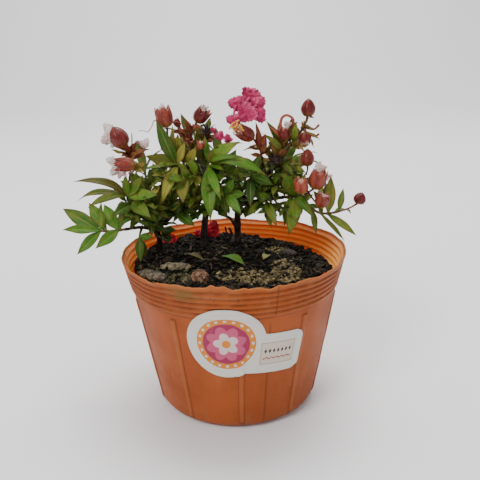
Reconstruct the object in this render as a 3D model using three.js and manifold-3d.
import * as THREE from 'three';
import Module from 'manifold-3d';
import { mergeVertices } from 'three/addons/utils/BufferGeometryUtils.js';

// A young dwarf crape myrtle in bloom, growing in its soft plastic nursery pot.
// Millimetres, +Z up. The origin is the centre of the pot's foot, on the surface it stands on.
// The front of the pot, with the label, looks along -Y.

// Pot
const RIM_RADIUS = 52.5;
const POT_HEIGHT = 74;
const FOOT_RADIUS = 38.5;
const FOOT_ROUND = 6;
const BAND_BOTTOM = 59;
const BAND_RADIUS = 48.2;
const WALL = 1.2;
const HOOP_COUNT = 5;
const HOOP_PITCH = 2.5;
const HOOP_HEIGHT = 0.7;
const LIP_FLARE = 0.9;
const STAVE_COUNT = 10;
const STAVE_PHASE = 3;
const STAVE_HEIGHT = 0.6;
const STAVE_HALF_ANGLE = 2;
const STAVE_TOP = 57;
const DRAIN_COUNT = 6;
const DRAIN_RADIUS = 3.5;
const DRAIN_RING = 21;

// Soil
const SOIL_LEVEL = 65.3;
const SOIL_SLOPE = -0.055;
const MOUND_HEIGHT = 5;
const MOUND_WIDTH = 19;
const MOUND_X = -8;
const MOUND_Y = 16;
const SOIL_BRIM = 62;
const SOIL_COLUMNS = 20;

// Label
const LABEL_THICK = 0.6;
const DISC_RADIUS = 17.4;
const DISC_X = -3.8;
const DISC_Z = 47.4;
const TAG_RIGHT = 35.3;
const TAG_TOP = 5;
const TAG_BOTTOM = 15;
const TAG_CORNER = 4;
const LABEL_TURN = -4;

// Leaf blade
const BLADE = 0.65;
const BLADE_FOLD = 0.32;
const PETIOLE = 0.45;
const GAP = 0.3;

const wasm = await Module();
wasm.setup();

const rad = THREE.MathUtils.degToRad;
const vec = (p) => new THREE.Vector3(p[0], p[1], p[2]);

// A number from 0 to 1 that is always the same for the same seed
function chance(seed) {
  const s = Math.sin(seed * 12.9898) * 43758.5453;
  return s - Math.floor(s);
}

// Closed bodies from rings of points

function bodyFrom(points, triangles) {
  const geometry = new THREE.BufferGeometry();
  const numbers = points.flatMap((p) => [p.x, p.y, p.z]);
  geometry.setAttribute('position', new THREE.Float32BufferAttribute(numbers, 3));
  geometry.setIndex(triangles);
  return solidOf(geometry);
}

function solidOf(geometry) {
  const bare = geometry.clone();
  bare.deleteAttribute('normal');
  bare.deleteAttribute('uv');
  const merged = mergeVertices(bare, 1e-5);
  const mesh = new wasm.Mesh({
    numProp: 3,
    vertProperties: new Float32Array(merged.attributes.position.array),
    triVerts: new Uint32Array(merged.index.array),
  });
  return new wasm.Manifold(mesh);
}

function geometryOf(solid) {
  const mesh = solid.getMesh();
  const geometry = new THREE.BufferGeometry();
  geometry.setAttribute('position', new THREE.BufferAttribute(new Float32Array(mesh.vertProperties), 3));
  geometry.setIndex(new THREE.BufferAttribute(new Uint32Array(mesh.triVerts), 1));
  geometry.computeVertexNormals();
  return geometry;
}

// Rings run from the first end to the last, each counted anticlockwise seen from the last end.
// An end is closed by a fan to its own centre point.
function loft(rings, firstCentre, lastCentre) {
  const count = rings[0].length;
  const points = rings.flat();
  const triangles = [];
  for (let i = 0; i + 1 < rings.length; i += 1) {
    for (let j = 0; j < count; j += 1) {
      const a = i * count + j;
      const b = i * count + ((j + 1) % count);
      triangles.push(a, b, b + count, a, b + count, a + count);
    }
  }
  const last = (rings.length - 1) * count;
  points.push(firstCentre, lastCentre);
  for (let j = 0; j < count; j += 1) {
    const k = (j + 1) % count;
    triangles.push(k, j, points.length - 2);
    triangles.push(last + j, last + k, points.length - 1);
  }
  return bodyFrom(points, triangles);
}

function union(solids) {
  return solids.reduce((all, next) => all.add(next));
}

// A round stem along a smooth curve, tapering from one radius to another
function stem(points, fromRadius, toRadius, sides, steps) {
  const curve = new THREE.CatmullRomCurve3(points.map(vec), false, 'catmullrom', 0.5);
  const rings = [];
  const middles = [];
  let side = new THREE.Vector3(0.31, 0.87, 0.38);
  for (let i = 0; i <= steps; i += 1) {
    const t = i / steps;
    const middle = curve.getPoint(t);
    const along = curve.getTangent(t);
    side = side.clone().addScaledVector(along, -side.dot(along)).normalize();
    const other = new THREE.Vector3().crossVectors(along, side);
    const radius = fromRadius + (toRadius - fromRadius) * t;
    const ring = [];
    for (let j = 0; j < sides; j += 1) {
      const a = (2 * Math.PI * j) / sides;
      const rim = middle.clone().addScaledVector(side, radius * Math.cos(a));
      ring.push(rim.addScaledVector(other, radius * Math.sin(a)));
    }
    rings.push(ring);
    middles.push(middle);
  }
  return loft(rings, middles[0], middles[steps]);
}

function pointOn(points, t) {
  return new THREE.CatmullRomCurve3(points.map(vec), false, 'catmullrom', 0.5).getPoint(t);
}

// Pot: wall with five hoops under the lip, ten upright staves and a slightly wavy soft lip

function wallRadius(z) {
  if (z < FOOT_ROUND) {
    const drop = FOOT_ROUND - z;
    return FOOT_RADIUS - FOOT_ROUND + Math.sqrt(FOOT_ROUND ** 2 - drop ** 2);
  }
  if (z < BAND_BOTTOM) {
    return FOOT_RADIUS + ((BAND_RADIUS - FOOT_RADIUS) * (z - FOOT_ROUND)) / (BAND_BOTTOM - FOOT_ROUND);
  }
  const rise = (z - BAND_BOTTOM) / (POT_HEIGHT - BAND_BOTTOM);
  return BAND_RADIUS + (RIM_RADIUS - HOOP_HEIGHT - BAND_RADIUS) * rise;
}

function lipLift(angle) {
  const ripple = 0.35 * Math.sin(3 * angle + 0.6) + 0.25 * Math.sin(7 * angle + 2.1);
  return ripple + 0.2 * Math.sin(17 * angle);
}

function lipSway(angle) {
  return 0.35 * Math.sin(2 * angle + 0.8) + 0.2 * Math.sin(5 * angle);
}

// Angles from one stave to the next: three close ones on the stave, two spread between
function potAngles() {
  const spacing = 360 / STAVE_COUNT;
  const between = (spacing - 2 * STAVE_HALF_ANGLE) / 3;
  const angles = [];
  for (let i = 0; i < STAVE_COUNT; i += 1) {
    const centre = STAVE_PHASE + i * spacing;
    angles.push([centre - STAVE_HALF_ANGLE, 0], [centre, 1], [centre + STAVE_HALF_ANGLE, 0]);
    for (let k = 1; k <= 2; k += 1) {
      angles.push([centre + STAVE_HALF_ANGLE + k * between, 0]);
    }
  }
  return angles.map(([degrees, stave]) => ({ angle: rad(degrees - 90), stave }));
}

function potOuterRows() {
  const rows = [];
  for (const degrees of [0, 45, 90]) {
    rows.push({ z: FOOT_ROUND * (1 - Math.cos(rad(degrees))), hoop: 0, stave: degrees / 90 });
  }
  rows.push({ z: STAVE_TOP - 1, hoop: 0, stave: 1 }, { z: STAVE_TOP, hoop: 0, stave: 0 });
  for (let i = 0; i < HOOP_COUNT; i += 1) {
    const z = BAND_BOTTOM + i * HOOP_PITCH;
    rows.push({ z, hoop: 0, stave: 0 }, { z: z + HOOP_PITCH / 2, hoop: HOOP_HEIGHT, stave: 0 });
  }
  const neck = BAND_BOTTOM + HOOP_COUNT * HOOP_PITCH;
  rows.push({ z: neck, hoop: 0, stave: 0 }, { z: neck + LIP_FLARE, hoop: HOOP_HEIGHT, stave: 0 });
  rows.push({ z: POT_HEIGHT, hoop: HOOP_HEIGHT * 0.8, stave: 0 });
  return rows;
}

function softLip(z, angle) {
  return Math.max(0, (z - BAND_BOTTOM) / (POT_HEIGHT - BAND_BOTTOM)) ** 2 * lipLift(angle);
}

function softSway(z, angle) {
  return Math.max(0, (z - BAND_BOTTOM) / (POT_HEIGHT - BAND_BOTTOM)) * lipSway(angle);
}

function potPoint(radius, z, angle) {
  const r = radius + softSway(z, angle);
  return new THREE.Vector3(r * Math.cos(angle), r * Math.sin(angle), z + softLip(z, angle));
}

function makePot() {
  const angles = potAngles();
  const rings = potOuterRows().map(({ z, hoop, stave }) => angles.map((column) => {
    const raised = hoop + stave * column.stave * STAVE_HEIGHT;
    return potPoint(wallRadius(z) + raised, z, column.angle);
  }));
  for (const z of [POT_HEIGHT, BAND_BOTTOM, FOOT_ROUND + WALL, WALL]) {
    const inset = z === POT_HEIGHT ? WALL * 0.8 : WALL;
    const radius = z > WALL ? wallRadius(z) - inset : FOOT_RADIUS - FOOT_ROUND;
    rings.push(angles.map((column) => potPoint(radius, z, column.angle)));
  }
  const pot = loft(rings, new THREE.Vector3(0, 0, 0), new THREE.Vector3(0, 0, WALL));
  const drains = [];
  for (let i = 0; i < DRAIN_COUNT; i += 1) {
    const angle = (2 * Math.PI * i) / DRAIN_COUNT;
    const hole = new THREE.CylinderGeometry(DRAIN_RADIUS, DRAIN_RADIUS, 4 * WALL, 8);
    hole.rotateX(Math.PI / 2);
    hole.translate(DRAIN_RING * Math.cos(angle), DRAIN_RING * Math.sin(angle), 0);
    drains.push(solidOf(hole));
  }
  return pot.subtract(union(drains));
}

// Soil: fills the pot to below the lip, mounded round the stems and lower on the right

function soilHeight(x, y) {
  const away = ((x - MOUND_X) ** 2 + (y - MOUND_Y) ** 2) / (2 * MOUND_WIDTH ** 2);
  const crumbs = 0.5 * Math.sin(0.55 * x + 1.1) * Math.cos(0.6 * y) + 0.35 * Math.sin(1.3 * x - 0.9 * y);
  return SOIL_LEVEL + SOIL_SLOPE * x + MOUND_HEIGHT * Math.exp(-away) + crumbs;
}

function makeSoil(sockets) {
  const at = (radius, angle, z) => new THREE.Vector3(radius * Math.cos(angle), radius * Math.sin(angle), z);
  const clear = WALL + GAP + 0.05;
  const columns = [];
  for (let i = 0; i < SOIL_COLUMNS; i += 1) {
    columns.push((2 * Math.PI * i) / SOIL_COLUMNS);
  }
  const sides = [[FOOT_RADIUS - FOOT_ROUND - 1, WALL + GAP], [FOOT_RADIUS - clear, FOOT_ROUND + WALL + 1]];
  sides.push([wallRadius(BAND_BOTTOM) - clear, BAND_BOTTOM]);
  const rings = sides.map(([radius, z]) => columns.map((angle) => at(radius, angle, z)));
  const brim = wallRadius(SOIL_BRIM) - clear - 0.5;
  for (const share of [1, 0.82, 0.62, 0.42, 0.2]) {
    rings.push(columns.map((angle) => {
      const point = at(brim * share, angle, 0);
      return point.setZ(soilHeight(point.x, point.y));
    }));
  }
  const top = new THREE.Vector3(0, 0, soilHeight(0, 0));
  const soil = loft(rings, new THREE.Vector3(0, 0, WALL + GAP), top);
  return soil.subtract(union(sockets));
}

// Label: a die-cut sticker, a round with a tag to its right, wrapped round the wall

function labelRadius(z) {
  const hoops = THREE.MathUtils.smoothstep(z, STAVE_TOP - 3, BAND_BOTTOM + 1) * HOOP_HEIGHT;
  return wallRadius(z) + STAVE_HEIGHT + GAP + hoops;
}

// Upper and lower edge of the sticker at a distance from the centre of its round
function labelEdges(across) {
  const inRound = Math.abs(across) < DISC_RADIUS;
  const round = inRound ? Math.sqrt(DISC_RADIUS ** 2 - across ** 2) : 0;
  const right = TAG_RIGHT - across;
  const cut = right < TAG_CORNER ? TAG_CORNER - Math.sqrt(TAG_CORNER ** 2 - (TAG_CORNER - right) ** 2) : 0;
  const onTag = across > 0;
  return [onTag ? Math.max(round, TAG_TOP - cut) : round, -(onTag ? Math.max(round, TAG_BOTTOM - cut) : round)];
}

function makeLabel() {
  const stations = [-1, -0.9, -0.68, -0.35, 0, 0.35, 0.62, 0.8, 0.94].map((s) => s * DISC_RADIUS);
  stations.push(24, TAG_RIGHT - TAG_CORNER, TAG_RIGHT - 0.3 * TAG_CORNER, TAG_RIGHT - 0.2);
  const rows = 4;
  const turn = rad(LABEL_TURN);
  const place = (across, up, lift) => {
    const x = DISC_X + across * Math.cos(turn) - up * Math.sin(turn);
    const z = DISC_Z + across * Math.sin(turn) + up * Math.cos(turn);
    const radius = labelRadius(z) + lift;
    const angle = x / labelRadius(DISC_Z) - Math.PI / 2;
    return new THREE.Vector3(radius * Math.cos(angle), radius * Math.sin(angle), z);
  };
  const rings = stations.map((station, k) => {
    const across = k === 0 ? station + 0.3 : station;
    const [top, bottom] = labelEdges(across);
    const ring = [];
    for (let i = 0; i <= rows; i += 1) {
      ring.push(place(across, bottom + ((top - bottom) * i) / rows, LABEL_THICK));
    }
    for (let i = rows; i >= 0; i -= 1) {
      ring.push(place(across, bottom + ((top - bottom) * i) / rows, 0));
    }
    return ring;
  });
  const first = place(stations[0] + 0.3, 0, LABEL_THICK / 2);
  const last = place(TAG_RIGHT - 0.2, (TAG_TOP - TAG_BOTTOM) / 2, LABEL_THICK / 2);
  return loft(rings.map((ring) => ring.reverse()), first, last);
}

// Leaf: a folded lance-shaped blade from its root to its tip.
// arch lifts its middle along the blade's face, as a share of its length.
// tilt turns the face from looking up (0) to looking to the front (90).

function leafFrame(root, tip, tilt) {
  const along = tip.clone().sub(root);
  const length = along.length();
  along.normalize();
  const face = new THREE.Vector3(0, -Math.sin(rad(tilt)), Math.cos(rad(tilt)));
  face.addScaledVector(along, -face.dot(along));
  if (face.length() < 0.1) {
    face.set(0.3, -1, 0).addScaledVector(along, -along.dot(new THREE.Vector3(0.3, -1, 0)));
  }
  face.normalize();
  return { along, length, face, across: new THREE.Vector3().crossVectors(along, face) };
}

function halfWidth(u, width) {
  return PETIOLE + (width / 2 - PETIOLE) * Math.sin(Math.PI * u ** 0.9) ** 1.1;
}

const STATIONS = [0.13, 0.45, 0.77];
const OUTER_STATIONS = [0.3, 0.45, 0.77];

// A six-cornered section at each station between the pointed root, which is sunk in its stem, and the tip
function leafBlade({ root, tip, width, arch, tilt }, grow, stations) {
  const { along, length, face, across } = leafFrame(root, tip, tilt);
  const top = BLADE / 2 + grow;
  const points = [];
  for (const u of stations) {
    const middle = root.clone().lerp(tip, u).addScaledVector(face, length * arch * 4 * u * (1 - u));
    const slope = along.clone().addScaledVector(face, arch * 4 * (1 - 2 * u)).normalize();
    const normal = face.clone().addScaledVector(slope, -face.dot(slope)).normalize();
    const half = halfWidth(u, width) + grow;
    const fold = half * BLADE_FOLD;
    const at = (side, lift) => middle.clone().addScaledVector(across, side).addScaledVector(normal, lift);
    points.push(at(-half, fold + top), at(0, top), at(half, fold + top));
    points.push(at(half, fold - top), at(0, -top), at(-half, fold - top));
  }
  const count = 6;
  const last = (stations.length - 1) * count;
  const triangles = [];
  for (let j = 0; j < count; j += 1) {
    const k = (j + 1) % count;
    for (let row = 0; row < last; row += count) {
      const [a, b, c, d] = [row + j, row + k, row + k + count, row + j + count];
      const mirrored = j === 1 || j === 4;
      triangles.push(...(mirrored ? [a, b, d, b, c, d] : [a, b, c, a, c, d]));
    }
    triangles.push(k, j, points.length, last + j, last + k, points.length + 1);
  }
  const start = stations === OUTER_STATIONS ? root.clone().lerp(tip, 0.25) : root;
  return bodyFrom([...points, start, tip], triangles);
}

// Turns a leaf's tip about its root: heading about the upright, rise up or down
function swung(root, tip, heading, rise) {
  const out = tip.clone().sub(root);
  out.applyAxisAngle(new THREE.Vector3(0, 0, 1), rad(heading));
  const level = new THREE.Vector3(-out.y, out.x, 0);
  if (level.length() > 1e-6) {
    out.applyAxisAngle(level.normalize(), -rad(rise));
  }
  return out.add(root);
}

const SWINGS = [[0, 0]];
for (const size of [5, 10, 15, 20, 26, 32, 40]) {
  SWINGS.push([size, 0], [-size, 0], [0, size], [0, -size]);
  SWINGS.push([size, size], [-size, size], [size, -size], [-size, -size]);
}

// What is placed already, with its box, so that a new leaf can be bent clear of it

const placed = [];

function remember(name, solid) {
  placed.push({ name, solid, box: solid.boundingBox() });
}

function boxesMeet(a, b) {
  return a.min.every((low, i) => low <= b.max[i] && b.min[i] <= a.max[i]);
}

// A leaf may touch only what has its own shoot's name
function isClear(solid, own) {
  const box = solid.boundingBox();
  return placed.every((other) => other.name === own || !boxesMeet(box, other.box)
    || other.solid.intersect(solid).volume() < 1e-6);
}

// The first swing at which a leaf, grown by the gap, touches nothing placed before.
// Where it can, its outer part also keeps off the leaves of its own shoot.
function clearLeaf(leaf, sisters, own) {
  for (const crowd of [sisters, []]) {
    for (const [heading, rise] of SWINGS) {
      const bent = { ...leaf, tip: swung(leaf.root, leaf.tip, heading, rise) };
      const outer = leafBlade(bent, GAP / 2, OUTER_STATIONS);
      const apart = crowd.every((sister) => sister.intersect(outer).volume() < 1e-6);
      if (apart && isClear(leafBlade(bent, GAP, STATIONS), own)) {
        sisters.push(outer);
        return leafBlade(bent, 0, STATIONS);
      }
    }
  }
  return null;
}

// Woody stems: three plants set in one pot. Each branch is a list of points with its radii.

const WOOD = {
  stem_left: [
    { points: [[-37, 17, 50], [-37, 17, 69], [-37, 12, 79], [-39, 5, 88], [-42, 1, 92]], radii: [1.6, 1] },
    { points: [[-37, 11.4, 80], [-43, 1, 85], [-50, -5, 86]], radii: [0.9, 0.7] },
    { points: [[-37, 13, 78], [-40, 22, 88], [-42, 29, 96]], radii: [1.1, 0.8] },
    { points: [[-37, 10, 82], [-33, 6, 86], [-29, 3, 89]], radii: [0.9, 0.7] },
  ],
  stem_centre: [
    {
      points: [[-15, 15, 48], [-15, 15, 70], [-14, 14, 83], [-12, 12, 95], [-11, 7, 107], [-11, 4, 112]],
      radii: [2, 1.1],
    },
    { points: [[-13, 12, 92], [-9, 7, 98], [-6, 3, 100]], radii: [1, 0.8] },
    { points: [[-13, 13, 88], [-11, 21, 95], [-9, 28, 102]], radii: [1.1, 0.8] },
    { points: [[-12, 8, 104], [-14, 14, 110], [-17, 20, 115]], radii: [0.9, 0.7] },
    { points: [[-11, 5, 110], [-15, 5, 113], [-18, 4, 113]], radii: [0.9, 0.8] },
  ],
  stem_right: [
    {
      points: [[2, 23, 48], [2, 23, 70], [2, 18, 83], [3, 15, 92], [10, 12, 97], [16, 10, 106], [20, 9, 111]],
      radii: [1.9, 1],
    },
    { points: [[3, 15, 91], [12, 11, 94], [19, 7, 96], [24, 5, 97]], radii: [1.1, 0.8] },
    { points: [[3, 16, 90], [13, 24, 95], [22, 31, 100]], radii: [1.1, 0.8] },
    { points: [[2, 20, 77], [-1, 21, 82], [-3, 20, 84]], radii: [0.9, 0.6] },
    { points: [[4, 14, 94], [7, 9, 100], [8, 6, 104]], radii: [0.9, 0.7] },
  ],
};

function makeWood(branches, grow) {
  return union(branches.map(({ points, radii }, i) => {
    const spans = points.length - 1;
    const [sides, steps] = i === 0 ? [7, 2 * spans] : [5, spans];
    return stem(points, radii[0] + grow, radii[1] + grow, sides, steps);
  }));
}

// The hole that a stem stands in: its own main branch, grown by the gap
function soilSocket(branches) {
  const { points, radii } = branches[0];
  const foot = [points[0][0], points[0][1], points[0][2] - GAP];
  return stem([foot, ...points.slice(1)], radii[0] + GAP, radii[1] + GAP, 7, 2 * (points.length - 1));
}

// Leafy shoots. Each leaf: place along the shoot (0 to 1), tip in millimetres, width, arch, tilt.

const SHOOTS = [
  {
    name: 'shoot_low_left',
    colour: 0x4f7a2a,
    points: [[-49.5, -4.8, 86], [-56, -7, 86], [-61, -8, 86.4]],
    leaves: [
      [1, -77, -10, 88, 4.6, 0.06, 45], [0.95, -79, 1, 95, 6.6, 0.05, 60],
      [1, -70, -16, 78, 5.2, 0.02, 50], [0.2, -61.8, -15, 80.3, 5.4, 0.06, 60],
      [0.95, -59, -7, 100, 3, 0.05, 70], [0.65, -67, 3, 97, 6.4, 0.02, 65],
      [0.25, -60, 3, 96, 6.4, 0.04, 75],
      [0.2, -49, 1, 97, 2.8, 0.18, 50], [0.75, -66, 9, 83, 5, 0.1, 0], [0.2, -52, 9, 88, 5, 0.1, -10],
    ],
  },
  {
    name: 'shoot_mid_left',
    colour: 0x4c742c,
    points: [[-41.8, 1.3, 91.7], [-46, -1, 98], [-48, -4, 102]],
    leaves: [
      [0.75, -70.4, -8, 109.4, 4.8, 0.24, 40], [1, -72, 2, 98, 4.2, 0.16, 30],
      [0.95, -64.4, -12, 98.2, 4.5, 0.18, 45],
      [1, -47, -8, 112.4, 3.6, 0.03, 70], [0.45, -44, 4, 111.6, 4.4, 0.02, 75],
      [0.9, -39.4, -6, 111.4, 5, 0.05, 65], [0.8, -33, -10, 103, 5.8, 0.07, 50],
      [0.5, -36, -15, 94, 6.4, 0.08, 60], [0.4, -54, -11, 94, 5.6, 0.08, 60],
      [0.35, -34, -7, 89, 5.8, 0.08, 40], [0.5, -52, 10, 100, 5, 0.12, -10],
    ],
  },
  {
    name: 'shoot_hanging_left',
    colour: 0x39591f,
    points: [[-43, 0.2, 84.4], [-43.4, -2.4, 83], [-43.5, -4, 81.4]],
    leaves: [
      [1, -43, -9, 71, 4.2, 0.05, 75], [0.9, -41, -4, 71.5, 3.8, 0.04, 75], [0.8, -37, -6, 82, 3.6, 0.05, 60],
    ],
  },
  {
    name: 'shoot_inner_left',
    colour: 0x35561f,
    points: [[-29.5, 3.2, 88.8], [-28, 2, 90], [-26, 1, 91.5]],
    leaves: [
      [1, -18, -2, 86, 5.2, 0.16, 55], [0.8, -35.1, -5, 91.7, 5, 0.08, 50],
      [0.9, -24, -8, 99, 5.4, 0.08, 60], [0.5, -20, 9, 94, 5, 0.1, 20], [0.6, -34, 10, 97, 5, 0.1, 10],
    ],
  },
  {
    name: 'shoot_upper_left',
    colour: 0x6f7430,
    points: [[-17.5, 4.1, 113], [-22, 4, 113.5], [-26, 3, 114]],
    leaves: [
      [0.85, -24, 3, 128, 5.8, 0.04, 80], [0.9, -20.5, 1, 125, 4.2, 0.09, 75],
      [0.35, -15.5, -2, 123, 4.6, 0.03, 80], [0.65, -39.2, 1, 118.8, 6, -0.02, 70],
      [0.95, -32.6, -4, 136, 6.2, 0.04, 85], [0.35, -42, -4, 112.6, 2.4, 0.08, 30],
      [0.8, -32, -6, 98, 5.4, 0.2, 60], [0.7, -22, -10, 99, 7.2, -0.05, 65],
      [0.9, -31, 13, 116, 5.2, 0.14, -20],
      [0.5, -20, 15, 119, 5.2, 0.12, -40],
    ],
  },
  {
    name: 'shoot_centre',
    colour: 0x4a7d2a,
    points: [[-11, 4.2, 111.5], [-10.8, 3.4, 113.5], [-10.4, 2.6, 115.2]],
    leaves: [
      [0.9, 4, -4, 125, 6.6, 0.1, 60], [0.75, 16, -8, 110, 5.4, 0.22, 45],
      [0.25, -10, -11, 91, 7, 0.1, 80], [0.5, -3, -8, 113, 2.9, 0.03, 45],
      [0.8, 4, -9, 118.6, 3.6, 0.16, 55], [0.9, -12, 4, 127, 3.2, 0.05, 75],
      [0.6, -2, 14, 116, 5, 0.12, -20], [0.3, -4.9, -11, 99.8, 4.2, 0.11, 65],
    ],
  },
  {
    name: 'shoot_centre_low',
    colour: 0x3f7026,
    points: [[-6.4, 3.4, 99.8], [-4.5, 1, 100.5], [-3, -0.5, 100.5]],
    leaves: [
      [1, 4, -10, 93, 5, 0.1, 65], [0.9, 6, -3, 101, 4.6, -0.05, 60],
      [0.6, -3, -3, 91, 4.4, 0.08, 70], [0.9, 1, -2, 108, 4.4, 0.06, 65], [0.4, -9, -6, 96, 3.6, 0.08, 60],
    ],
  },
  {
    name: 'shoot_centre_right',
    colour: 0x2f4f1f,
    points: [[8, 6.3, 103.6], [8.5, 5, 105.5], [9, 4, 108]],
    leaves: [
      [1, 13, 3, 118, 4.4, 0.05, 70], [0.8, -2, 5, 111, 5, 0.08, 55],
      [0.9, 19, 0, 104, 4.8, 0.12, 60], [0.6, 8, -4, 95, 4.8, 0.1, 70],
      [0.6, 14, 1, 95, 4.4, 0.06, 60], [0.7, 4, 15, 112, 5, 0.12, -20],
    ],
  },
  {
    name: 'shoot_right_low',
    colour: 0x557a2c,
    points: [[15, 9.4, 95], [15.2, 6, 95.6], [15.4, 3, 96.4]],
    leaves: [
      [1, 11.9, -7, 102.5, 4.6, 0.11, 70], [0.9, 20, -6, 86, 4.4, 0.06, 65],
      [0.6, 18, 2, 83, 2.8, 0.04, 60], [0.6, 6, 4, 88, 4, 0.1, 50],
    ],
  },
  {
    name: 'shoot_right_mid',
    colour: 0x5a7f30,
    points: [[23.5, 5.1, 97], [28, 3, 98], [31.5, 0, 98]],
    leaves: [
      [0.7, 22.5, -4, 111, 6, 0.05, 75], [0.35, 20, 5, 109, 3.4, 0.04, 65],
      [0.75, 28, -10, 89, 6.2, 0.08, 70], [0.4, 24, 2, 84, 5, 0.05, 60],
      [0.8, 25.6, -4.5, 81.4, 6.4, 0.06, 75], [0.6, 35.7, -15, 92.2, 5, 0.09, 60],
      [0.9, 34, 6, 108, 4.2, 0.05, 50], [0.5, 30, 14, 94, 5, 0.12, -10],
    ],
  },
  {
    name: 'shoot_right_tip',
    colour: 0x566f28,
    points: [[32.4, -0.4, 97.2], [36.5, -2, 93], [41, -3, 91], [46.5, -4, 91.5], [51, -5, 93]],
    leaves: [
      [0.25, 38, -6, 82, 3, 0.1, 55], [0.45, 51, -8, 79, 2.4, 0.03, 45],
      [0.6, 56, -10, 82, 3.8, 0.04, 55], [0.62, 44.6, -4, 109, 5.6, 0.04, 80],
      [0.85, 51, 0, 102, 3, 0.05, 70], [0.45, 42, 8, 102, 4.6, 0.05, 60],
      [0.75, 56, 6, 88, 4.4, 0.12, 10], [0.3, 37, 10, 88, 4.6, 0.12, 0],
    ],
  },
  {
    name: 'shoot_right_top',
    colour: 0x64762c,
    points: [[20.3, 8.92, 111.35], [24, 7, 116], [27, 5, 121], [31, 3, 127]],
    leaves: [
      [0.5, 16, 3, 133, 4, 0.02, 70],
      [0.45, 14, -1, 128, 3.4, 0.1, 70], [0.8, 23.6, 6.4, 129.6, 4.2, 0.05, 75],
      [0.2, 33.9, 1, 109.2, 4.2, 0.06, 55], [0.8, 29, -1, 133, 3.4, 0.12, 70],
      [0.25, 28, -2, 108, 3.2, 0.11, 60], [0.5, 34, 14, 120, 5, 0.12, -10], [0.3, 18, 19, 118, 5, 0.12, -30],
    ],
  },
  {
    name: 'shoot_back_left',
    colour: 0x446b28,
    points: [[-42.1, 29.4, 96.4], [-44, 33, 101], [-45, 36, 106]],
    leaves: [
      [0.75, -60, 44, 110, 5, 0.12, -20], [0.75, -36, 46, 114, 5.2, 0.1, -40],
      [0.75, -50, 34, 120, 4.8, 0.06, -60], [0.7, -62, 30, 104, 5.4, 0.14, 0],
      [0.6, -30, 30, 104, 5, 0.14, 0], [0.4, -48, 49, 96, 5.4, 0.1, -50],
    ],
  },
  {
    name: 'shoot_back_centre',
    colour: 0x3d6224,
    points: [[-8.9, 28.4, 102.4], [-8, 32, 107], [-7, 35, 112]],
    leaves: [
      [1, -20, 44, 118, 5, 0.12, -30], [1, 6, 46, 116, 5.2, 0.12, -30],
      [1, -8, 38, 126, 4.8, 0.05, -60], [0.6, -25, 34, 106, 5.4, 0.14, -10],
      [0.6, 9, 34, 108, 5.2, 0.14, -10], [0.4, -10, 50, 100, 5.4, 0.1, -60],
      [0.3, -22, 42, 94, 5, 0.12, -30],
    ],
  },
  {
    name: 'shoot_back_right',
    colour: 0x48702a,
    points: [[22.3, 31.4, 100.3], [26, 35, 104], [29, 37, 109]],
    leaves: [
      [0.75, 42, 44, 114, 5, 0.12, -20], [0.75, 20, 48, 116, 5, 0.1, -40],
      [0.75, 30, 34, 123, 4.8, 0.05, -60], [0.7, 46, 32, 106, 5.4, 0.14, 0],
      [0.5, 14, 40, 106, 5, 0.14, -20], [0.4, 32, 52, 98, 5.4, 0.1, -50],
      [0.3, 40, 40, 90, 5, 0.12, -20],
    ],
  },
  {
    name: 'shoot_back_top',
    colour: 0x5c7030,
    points: [[-17.2, 20.4, 115.2], [-19, 23, 119], [-20, 25, 122]],
    leaves: [
      [1, -34, 28, 127, 4.8, 0.1, -20], [1, -12, 34, 128, 4.8, 0.1, -40],
      [1, -24, 22, 135, 4.2, 0.05, -50], [0.6, -32, 20, 118, 5, 0.12, 0],
      [0.5, -8, 24, 120, 5, 0.12, 0], [0.4, -24, 38, 116, 5, 0.12, -40],
    ],
  },
];
const SHOOT_RADII = [0.8, 0.55];
const LAST_ROOT = 0.92;

function shootStem(shoot, grow) {
  return stem(shoot.points, SHOOT_RADII[0] + grow, SHOOT_RADII[1] + grow, 5, shoot.points.length - 1);
}

function makeShoot(shoot) {
  let body = shootStem(shoot, 0);
  const dropped = [];
  const sisters = [];
  for (const [at, x, y, z, width, arch, tilt] of shoot.leaves) {
    const root = pointOn(shoot.points, Math.min(at, LAST_ROOT));
    const leaf = clearLeaf({ root, tip: vec([x, y, z]), width, arch, tilt }, sisters, shoot.name);
    if (leaf) {
      body = body.add(leaf);
    } else {
      dropped.push([x, y, z]);
    }
  }
  if (dropped.length > 0) {
    throw new Error(`${shoot.name} has no room for leaves with tips at ${JSON.stringify(dropped)}`);
  }
  return body;
}

// Buds, calyces and their stalks, in bunches

// Rings round an axis from a foot point, at heights and radii; teeth stand on every other column
function cup(foot, axis, rows, columns, centreHeight) {
  const up = vec(axis).normalize();
  const side = new THREE.Vector3(-up.z, 0.2, up.x).addScaledVector(up, -0.2 * up.y).normalize();
  const other = new THREE.Vector3().crossVectors(up, side);
  const start = vec(foot);
  const at = (height, radius, angle) => start.clone().addScaledVector(up, height)
    .addScaledVector(side, radius * Math.cos(angle)).addScaledVector(other, radius * Math.sin(angle));
  const rings = rows.map(([height, radius, tooth]) => {
    const ring = [];
    for (let j = 0; j < columns; j += 1) {
      const angle = (2 * Math.PI * j) / columns;
      ring.push(at(height + (j % 2 === 0 ? tooth : 0), radius, angle));
    }
    return ring;
  });
  return loft(rings, at(rows[0][0], 0, 0), at(centreHeight, 0, 0));
}

function closedBud(foot, axis, length, width) {
  const half = width / 2;
  if (width < 3) {
    return cup(foot, axis, [[-0.3, 0.5, 0], [length * 0.5, half, 0]], 4, length);
  }
  const rows = [[-0.3, 0.5, 0], [length * 0.2, half * 0.8, 0], [length * 0.5, half, 0],
    [length * 0.82, half * 0.62, 0]];
  return cup(foot, axis, rows, 6, length);
}

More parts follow.
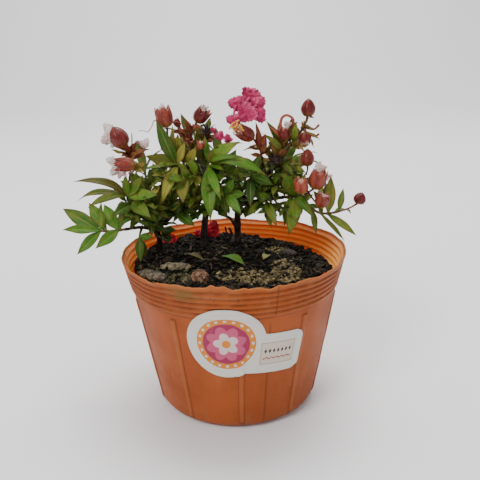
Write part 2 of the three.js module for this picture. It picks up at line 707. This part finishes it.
function openCalyx(foot, axis, length, width) {
  const half = width / 2;
  const tooth = length * 0.3;
  const rows = [[-0.3, 0.5, 0], [length * 0.28, half * 0.85, 0], [length * 0.7, half, tooth],
    [length * 0.68, half * 0.68, tooth * 0.75]];
  const columns = [12, 8, 6][[7, 5, 0].findIndex((least) => width > least)];
  return cup(foot, axis, rows, columns, length * 0.35);
}

const BUNCHES = [
  {
    name: 'buds_right_top',
    colour: 0x8a2a26,
    stalks: [
      [[31.2, 2.9, 127.2], [33, 2, 130], [34.5, 2, 135]],
      [[32.8, 2, 129.6], [33.4, 1, 129], [33, -0.2, 127.6]],
      [[32.8, 2, 129.8], [37, 1, 129], [39.5, 0.5, 131]],
      [[33, 1, 128.4], [37, 0, 126], [39.5, 0, 127]],
    ],
    closed: [[[34.5, 2, 134.6], [0.05, 0, 1], 8, 6.6]],
    open: [[[33, -0.2, 127.8], [0, -0.5, -1], 5.6, 6]],
  },
  {
    name: 'bud_right',
    colour: 0x8d2f28,
    stalks: [[[34.2, 2.1, 108.8], [34.6, 1, 111], [34.3, 0, 113]]],
    closed: [[[34.3, 0, 112.6], [0, 0, 1], 8, 6.4]],
    open: [],
  },
  {
    name: 'buds_right_mid',
    colour: 0xa8503a,
    stalks: [
      [[32, -1.1, 99.1], [34, -4, 101], [37, -7, 104]],
      [[32.6, -2.2, 99.9], [31, -7, 101], [30.5, -10, 103]],
      [[34.5, -4.4, 101.4], [37, -8, 98], [39, -10, 96.4]],
    ],
    closed: [],
    open: [
      [[37, -7, 103.6], [0.25, -0.1, 1], 9.5, 8.4], [[30.5, -10, 102.6], [0, -0.2, 1], 7, 6.8],
      [[39, -10, 96], [0.3, -0.2, 1], 7, 6.6],
    ],
  },
  {
    name: 'bud_far_right',
    colour: 0x7c211f,
    stalks: [[[51.3, -5.1, 93.1], [54, -5.6, 94.4], [57, -6, 96.4]]],
    closed: [[[56.8, -6, 96], [0.35, 0, 1], 5.6, 5.8]],
    open: [],
  },
  {
    name: 'calyx_curled',
    colour: 0x8c3430,
    stalks: [[[26.3, 3.6, 121.6], [25.6, 2.2, 123], [24.5, 1.5, 125]]],
    closed: [],
    open: [[[24.6, 1.6, 124.6], [-0.2, -0.2, 1], 6, 5.6]],
  },
  {
    name: 'buds_left',
    colour: 0x86282a,
    stalks: [
      [[-47.1, -2, 101.9], [-47, 0, 108], [-45.4, -1, 116], [-47.2, -4.8, 124.2]],
      [[-46.4, -0.2, 111.4], [-44, -4, 113], [-42.5, -8.2, 116.8]],
    ],
    closed: [[[-47.2, -4.8, 124], [-0.45, -0.1, 1], 10, 8.2]],
    open: [[[-42.4, -8.4, 116.7], [-1, -0.15, 0.05], 9.4, 7]],
  },
  {
    name: 'bud_left_top',
    colour: 0x9a3a33,
    stalks: [[[-26.7, 4.5, 114.5], [-28.8, 6.8, 122], [-28.5, 1, 132]]],
    closed: [],
    open: [[[-28.5, 1, 131.4], [-0.2, 0, 1], 9.5, 8]],
  },
  {
    name: 'buds_centre_left',
    colour: 0x9c4a30,
    stalks: [
      [[-17.8, 5.4, 114.6], [-19, 7.5, 124], [-15.4, 7, 133]],
      [[-19, 7.4, 123.6], [-22, 8, 128], [-24, 8, 131]],
      [[-18.3, 6.2, 118], [-15, 2, 121], [-14, 0, 122]],
    ],
    closed: [],
    open: [
      [[-15.5, 7, 132.6], [0.7, -0.1, 1], 7.8, 7], [[-13.8, 0, 121.6], [0.1, -0.3, 1], 4, 3.8],
      [[-23.6, 8, 130.6], [-0.6, 0, 1], 4, 3.6],
    ],
  },
  {
    name: 'buds_back',
    colour: 0x8a2e2a,
    stalks: [
      [[29.4, 37.3, 109.4], [31, 38, 114], [32, 38.5, 118]],
      [[30.6, 37.8, 112.6], [34, 40, 115], [37, 41, 116.5]],
    ],
    closed: [[[32, 38.5, 117.6], [0.1, 0.1, 1], 7.6, 6.2], [[36.8, 41, 116.2], [0.6, 0.3, 1], 6.4, 5.6]],
    open: [],
  },
  {
    name: 'bud_back_left',
    colour: 0x8a2e2a,
    stalks: [[[-45.2, 36.5, 106.4], [-46, 38, 110], [-47, 39, 113]]],
    closed: [[[-47, 39, 112.6], [-0.2, 0.2, 1], 7.4, 6.2]],
    open: [],
  },
];

function makeBunch(bunch) {
  const parts = bunch.stalks.map((points) => stem(points, 0.6, 0.5, 4, points.length - 1));
  for (const bud of bunch.closed) {
    parts.push(closedBud(...bud));
  }
  for (const calyx of bunch.open) {
    parts.push(openCalyx(...calyx));
  }
  return union(parts);
}

// Bloom: six clawed, crinkled petals on a dark red calyx, with yellow stamens at its mouth

const MOUTH = [1.2, -6.4, 131.8];
const BLOOM_FOOT = [9.7, -1.2, 126.2];
const PETALS = [
  { centre: [2.8, -1.4, 141.5], facing: [-0.25, -1, 0.25], radius: 3.9 },
  { centre: [9.2, 4, 144], facing: [0.1, -1, 0.3], radius: 4.7 },
  { centre: [12.4, 0.8, 140.6], facing: [0.2, -1, 0.15], radius: 4 },
  { centre: [12.8, -2.4, 136.2], facing: [0.15, -1, -0.1], radius: 3.7 },
  { centre: [7.3, -6, 137.7], facing: [0.05, -1, 0.1], radius: 4.8 },
  { centre: [1.5, -6.8, 134.6], facing: [-0.3, -1, 0.1], radius: 3.5 },
];

// Where a claw ends in its petal, as a share of the radius
const CLAW_REACH = 0.3;

// A ruffled petal: a wavy round plate, its thickness taken along one direction
function petal({ centre, facing, radius }, seed, grow) {
  const normal = vec(facing).normalize();
  const right = new THREE.Vector3(-normal.y, normal.x, 0).normalize();
  const up = new THREE.Vector3().crossVectors(normal, right);
  const middle = vec(centre);
  const columns = 8;
  const phase = 6 * chance(seed);
  const at = (share, j, lift) => {
    const angle = (2 * Math.PI * j) / columns;
    const notch = 1 - 0.16 * (j % 2) * (share > 0.9 ? 1 : 0) + 0.1 * Math.sin(3 * angle + phase);
    const wave = share * share * 1.2 * Math.sin(3 * angle + phase);
    const out = (radius * notch + grow) * share;
    return middle.clone().addScaledVector(right, out * Math.cos(angle))
      .addScaledVector(up, out * Math.sin(angle)).addScaledVector(normal, wave + lift);
  };
  const ring = (share, lift) => Array.from({ length: columns }, (_, j) => at(share, j, lift));
  const half = 0.35 + grow;
  const rings = [ring(0.5, -half), ring(1, -half), ring(1, half), ring(0.5, half)];
  return loft(rings, at(0, 0, -half), at(0, 0, half));
}

function makePetals() {
  const mouth = vec(MOUTH);
  const hub = solidOf(new THREE.IcosahedronGeometry(1.6, 0).translate(...MOUTH));
  return union([hub].concat(PETALS.map((shape, i) => {
    const centre = vec(shape.centre);
    const over = mouth.clone().lerp(centre, 0.3).add(new THREE.Vector3(-0.5, -0.5, 1));
    const inward = over.clone().sub(centre).normalize();
    const edge = centre.addScaledVector(inward, shape.radius * CLAW_REACH);
    return petal(shape, 11 + i, 0).add(stem([MOUTH, over.toArray(), edge.toArray()], 0.6, 0.6, 4, 2));
  })));
}

// Stamens: short threads with a rounded end, spread from one foot just outside the mouth

const STAMEN_FOOT = [1.8, -9.6, 131.4];
const STAMEN_TIPS = [
  [-0.4, -11, 132], [0.8, -12.4, 134], [3.4, -12.6, 135.4], [1.4, -12.6, 130.4],
  [5.4, -12.4, 131.2], [4, -12.8, 133.4],
];

function makeStamens() {
  const foot = solidOf(new THREE.IcosahedronGeometry(0.9, 0).translate(...STAMEN_FOOT));
  return union([foot].concat(STAMEN_TIPS.map((tip) => {
    const out = vec(tip).sub(vec(STAMEN_FOOT));
    const length = out.length();
    const rows = [[0, 0.35, 0], [length - 1.3, 0.35, 0], [length - 0.6, 0.75, 0]];
    return cup(STAMEN_FOOT, out.toArray(), rows, 4, length);
  })));
}

function makeBloomCalyx() {
  const stalk = stem([[16.2, 9.8, 106.3], [14.6, 7, 112], [13, 3.8, 120], BLOOM_FOOT], 0.7, 0.6, 4, 4);
  const axis = vec(MOUTH).sub(vec(BLOOM_FOOT)).toArray();
  const buds = [
    [[13.8, 4.6, 118], [1, 0, 0.8], 2.8, 2.2],
    [[12.6, 3.4, 121.6], [1, -0.3, 0.9], 2.8, 2.2],
  ];
  const bracts = [[11.9, 2.5, 130.5], [16, 3.5, 126.4]].map((tip, i) => {
    const root = new THREE.Vector3(13.1 + 0.5 * i, 4 + 1.1 * i, 119.6 - 3 * i);
    return leafBlade({ root, tip: vec(tip), width: 3.4, arch: 0.1, tilt: 60 }, 0, STATIONS);
  });
  const cups = [openCalyx(BLOOM_FOOT, axis, 9.6, 7.2), ...buds.map((bud) => closedBud(...bud))];
  return union([stalk, ...cups, ...bracts]);
}

// Dried seed heads: small husks spread from the end of a twig

const HUSKS = [
  { name: 'husks_right', twig: [[19, 8.9, 109.2], [20.6, 5.4, 111], [20.4, 2.6, 114.4]], seed: 3 },
  { name: 'husks_left', twig: [[-16.2, 5.4, 114.3], [-12.6, 9.4, 121], [-11, 10.4, 127.4]], seed: 8 },
];
const HUSK_COUNT = 4;
const HUSK_HEART = 1.7;

function makeHusks({ twig, seed }) {
  const root = twig[twig.length - 1];
  const centre = vec(root);
  const heart = new THREE.IcosahedronGeometry(HUSK_HEART, 0).translate(...root);
  const husks = [stem(twig, 0.6, 0.6, 5, 2), solidOf(heart)];
  for (let i = 0; i < HUSK_COUNT; i += 1) {
    const turn = i * 2.4 + seed;
    const lean = 0.35 + (1.1 * i) / (HUSK_COUNT - 1);
    const out = new THREE.Vector3().setFromSphericalCoords(1, lean, turn);
    out.set(out.z, out.x, out.y);
    const foot = centre.clone().addScaledVector(out, 1.2).toArray();
    husks.push(cup(foot, out.toArray(), [[0, 0.8, 0], [2.2, 1.3, 0.4]], 4, 3.8 + chance(seed - i)));
  }
  return union(husks);
}

// Loose things pressed into the soil: each is a body, and grown by the gap it cuts its own socket

const CHIPS = [
  { name: 'bark_chip_long', at: [-27, -8.5], size: [14, 5, 3], turn: 2, colour: 0x8a7a5c },
  { name: 'bark_chip_broad', at: [-34, -20], size: [12, 7, 3.6], turn: -36, colour: 0x6e5a44 },
  { name: 'bark_chip_dark', at: [27, 16], size: [9, 5, 3], turn: -30, colour: 0x2c241d },
];

function chip({ at, size, turn }, grow) {
  const rings = [-0.5, -0.28, 0.1, 0.38, 0.5].map((share, i) => {
    const fat = [0.4, 0.95, 1, 0.8, 0.3][i];
    return Array.from({ length: 6 }, (_, j) => {
      const angle = (2 * Math.PI * j) / 6 + 0.3;
      const rough = 1 + 0.12 * Math.sin(5 * i + 3 * j);
      const y = (size[1] / 2 * fat * rough + grow) * Math.cos(angle);
      const z = (size[2] / 2 * fat * rough + grow) * Math.sin(angle);
      return new THREE.Vector3(share * (size[0] + 2 * grow), y, z);
    });
  });
  const middle = new THREE.Vector3(at[0], at[1], soilHeight(at[0], at[1]) + size[2] * 0.15);
  const move = (p) => p.applyAxisAngle(new THREE.Vector3(0, 0, 1), rad(turn)).add(middle);
  const ends = [-0.5, 0.5].map((share) => move(new THREE.Vector3(share * (size[0] + 2 * grow), 0, 0)));
  return loft(rings.map((ring) => ring.map(move)), ends[0], ends[1]);
}

const CAPSULE = { at: [-15.2, -20.8], radius: 3.9 };

function seedCapsule(grow) {
  const ball = new THREE.IcosahedronGeometry(CAPSULE.radius + grow, 1);
  const position = ball.attributes.position;
  const point = new THREE.Vector3();
  for (let i = 0; i < position.count; i += 1) {
    point.fromBufferAttribute(position, i);
    const knob = 1 + 0.12 * Math.sin(2.1 * point.x) * Math.sin(2.3 * point.z + point.y);
    point.multiplyScalar(knob);
    position.setXYZ(i, point.x, point.y, point.z * 1.1);
  }
  const z = soilHeight(CAPSULE.at[0], CAPSULE.at[1]) + 1;
  ball.translate(CAPSULE.at[0], CAPSULE.at[1], z);
  return solidOf(ball);
}

// Fallen leaves and petals lie on the soil, their undersides in it
const FALLEN = [
  { name: 'fallen_leaf_green', from: [-5.2, 1], to: [5.2, -6.5], width: 5, lift: 0.4, colour: 0x4f8a35 },
  { name: 'fallen_leaf_dry', from: [-24, 5], to: [-13.4, -3], width: 3.8, lift: 0.3, colour: 0x6b6a3a },
  { name: 'fallen_leaf_yellow', from: [13.7, 10.5], to: [17.7, 3.3], width: 3.8, lift: 0.4, colour: 0xa3a63c },
];
const FALLEN_ARCH = 0.1;

function fallenLeaf({ from, to, width, lift }, grow) {
  const root = vec([from[0], from[1], soilHeight(from[0], from[1]) + lift]);
  const tip = vec([to[0], to[1], soilHeight(to[0], to[1]) + lift]);
  const along = tip.clone().sub(root).normalize().multiplyScalar(grow);
  const leaf = { root: root.sub(along), tip: tip.add(along), width, arch: FALLEN_ARCH, tilt: 0 };
  return leafBlade(leaf, grow, STATIONS);
}

const FALLEN_PETALS = [
  { name: 'fallen_petal_back', at: [-11.5, 32], radius: 5, facing: [0.1, -0.9, 0.6], lift: 3.6 },
  { name: 'fallen_petal_left', at: [-31.5, 26.5], radius: 3, facing: [-0.1, -0.8, 0.8], lift: 1.8 },
];

function fallenPetal({ at, radius, facing, lift }, seed, grow) {
  return petal({ centre: [at[0], at[1], soilHeight(at[0], at[1]) + lift], facing, radius }, seed, grow);
}

// Assembly

const part = new THREE.Group();

// A solid without the loose scraps that a cut can leave
function withoutScraps(solid) {
  return union(solid.decompose().filter((piece) => piece.volume() > 0.01));
}

function add(name, solid, colour, roughness) {
  const material = new THREE.MeshStandardMaterial({ color: colour, roughness, metalness: 0 });
  const mesh = new THREE.Mesh(geometryOf(solid), material);
  mesh.name = name;
  part.add(mesh);
  remember(name, solid);
}

add('pot', makePot(), 0xb5602f, 0.5);
add('label', makeLabel(), 0xe9e7e2, 0.45);

const sockets = Object.values(WOOD).map(soilSocket);
for (const shape of CHIPS) {
  add(shape.name, chip(shape, 0), shape.colour, 0.9);
  sockets.push(chip(shape, GAP));
}
add('seed_capsule', seedCapsule(0), 0x6b4630, 0.85);
sockets.push(seedCapsule(GAP));
for (const shape of FALLEN) {
  add(shape.name, fallenLeaf(shape, 0), shape.colour, 0.6);
  sockets.push(fallenLeaf(shape, GAP));
}
FALLEN_PETALS.forEach((shape, i) => {
  add(shape.name, fallenPetal(shape, 31 + i, 0), 0xb01a34, 0.6);
  sockets.push(fallenPetal(shape, 31 + i, GAP));
});
add('soil', makeSoil(sockets), 0x2b241c, 0.95);

const wood = Object.values(WOOD).map((branches) => makeWood(branches, GAP));
for (const [name, branches] of Object.entries(WOOD)) {
  add(name, makeWood(branches, 0), 0x2a201a, 0.8);
}
const aroundWood = union(wood);

add('bloom_calyx', makeBloomCalyx().subtract(aroundWood), 0x6d1d1b, 0.4);
add('bloom_petals', makePetals(), 0xd9578a, 0.6);
add('stamens', makeStamens(), 0xd9b13a, 0.6);
for (const bunch of BUNCHES) {
  add(bunch.name, makeBunch(bunch), bunch.colour, 0.35);
}
for (const husks of HUSKS) {
  add(husks.name, makeHusks(husks).subtract(aroundWood), 0x3c2a28, 0.9);
}

for (const shoot of SHOOTS) {
  remember(shoot.name, shootStem(shoot, GAP));
}
for (const shoot of SHOOTS) {
  add(shoot.name, withoutScraps(makeShoot(shoot).subtract(aroundWood)), shoot.colour, 0.45);
}

export default part;
